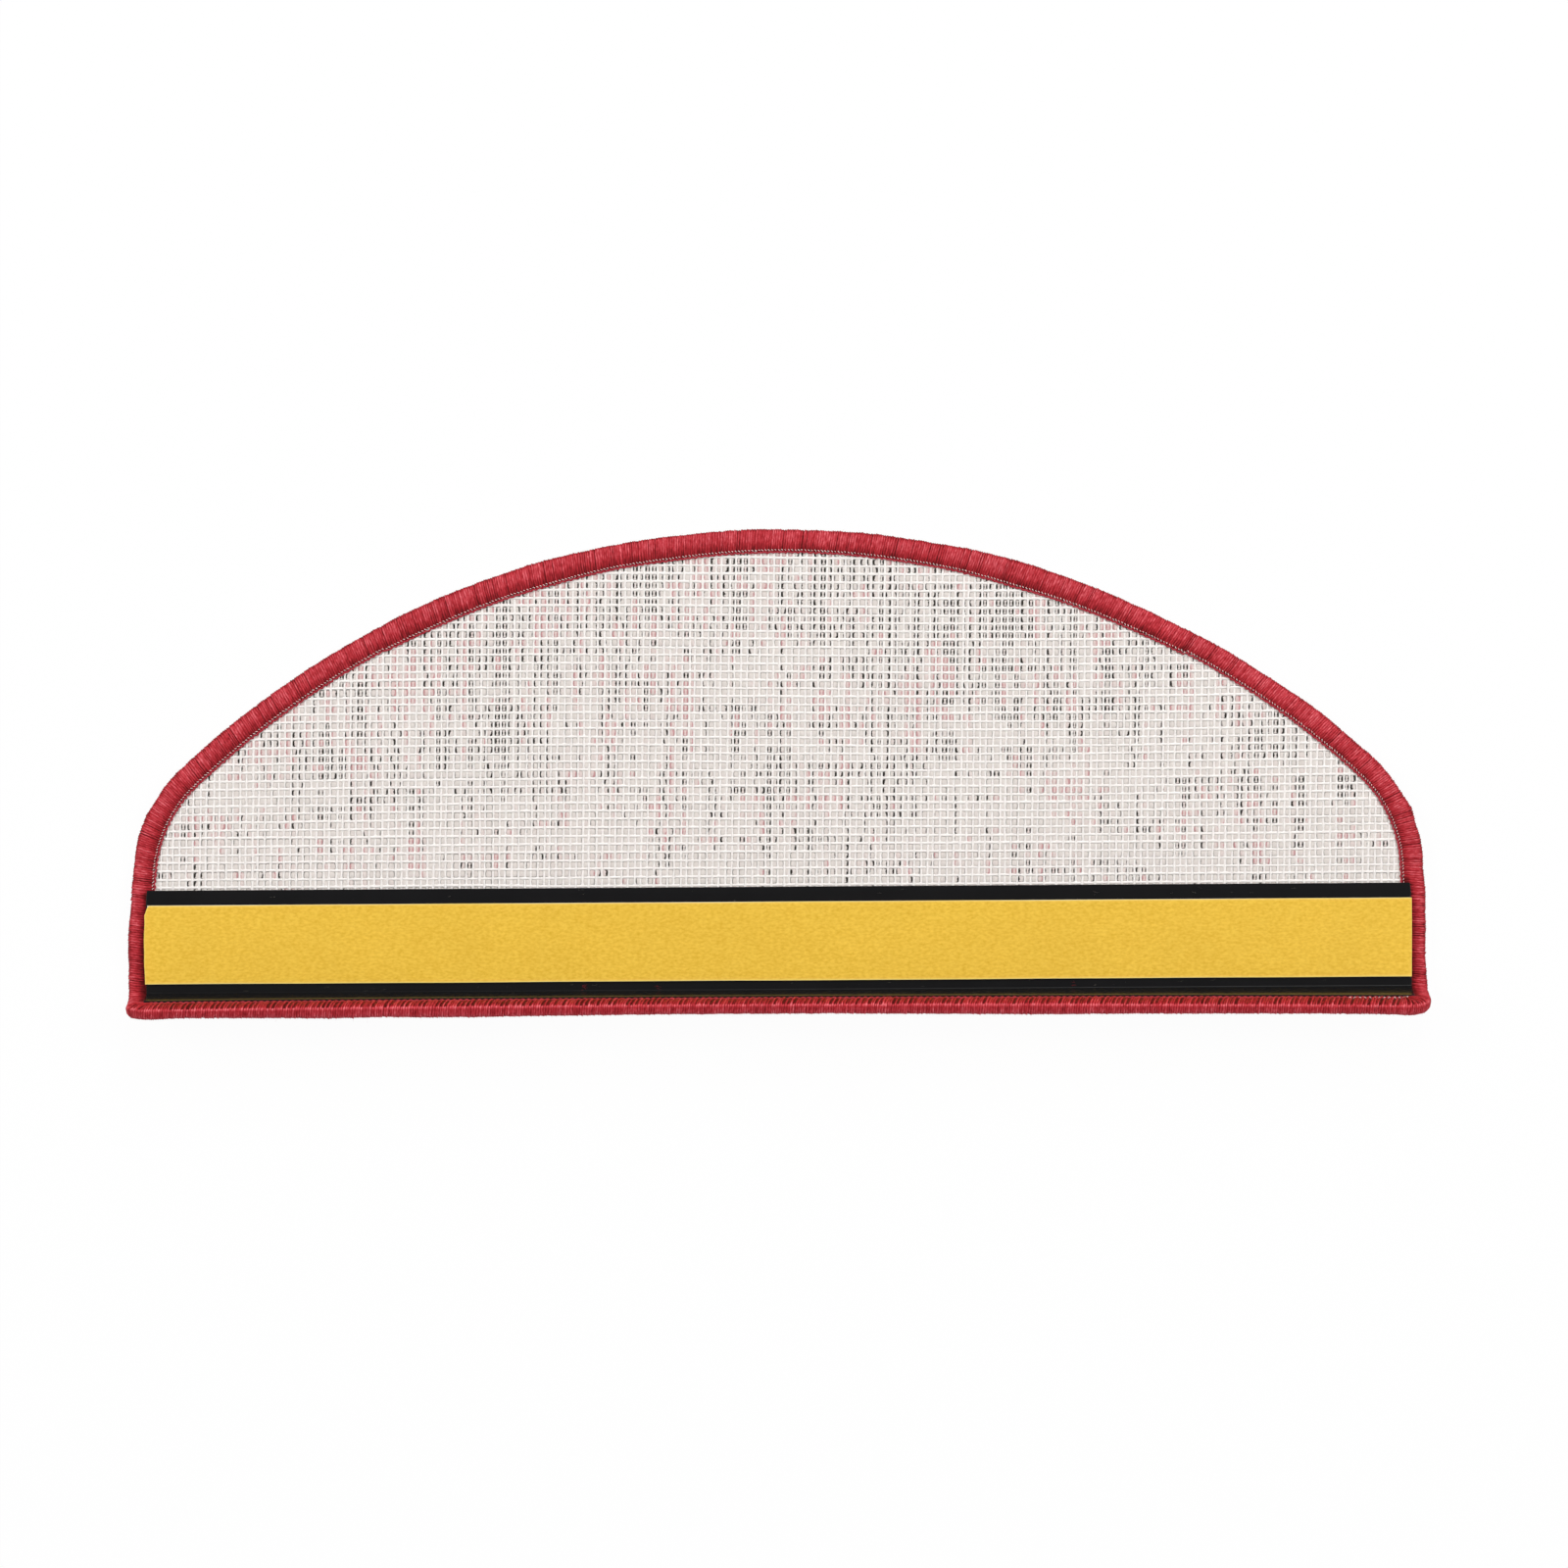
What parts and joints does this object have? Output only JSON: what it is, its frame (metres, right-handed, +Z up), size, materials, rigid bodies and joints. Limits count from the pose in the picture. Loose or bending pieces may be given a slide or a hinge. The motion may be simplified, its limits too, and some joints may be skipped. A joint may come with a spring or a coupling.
{
  "type": "anti slip stair tread mat",
  "caption": "Half-round carpet mat with an overlocked edge and an adhesive plastic angle that seats over the nose of a stair tread.",
  "frame": {"origin": "middle of the bounding box, on the plane that the pile lies on", "axes": "+X across the mat, +Y from the lip towards the top of the arch, +Z up from the pile to the backing, so the mat lies face down and the lip stands up at -Y"},
  "size_m": [0.65, 0.2426, 0.0386],
  "materials": {
    "carpet_pile": "low looped pile, red with charcoal flecks",
    "backing_net": "open woven polypropylene net, latex bonded",
    "edge_yarn": "dense overlocked yarn",
    "seam_thread": "thin sewing thread",
    "black_plastic": "extruded, satin to gloss",
    "adhesive": "double-sided adhesive strip",
    "tape_foam": "double-sided mounting tape",
    "yellow_liner": "waxed paper liner"
  },
  "bodies": {
    "root": {"carpet": "carpet_pile", "backing_net": "backing_net", "edge_yarn": "edge_yarn", "seam_thread": "seam_thread", "angle_profile": "black_plastic", "bond_strip_tread": "adhesive", "bond_strip_lip": "adhesive", "mounting_tape": "tape_foam", "release_liner": "yellow_liner"}
  },
  "joints": []
}
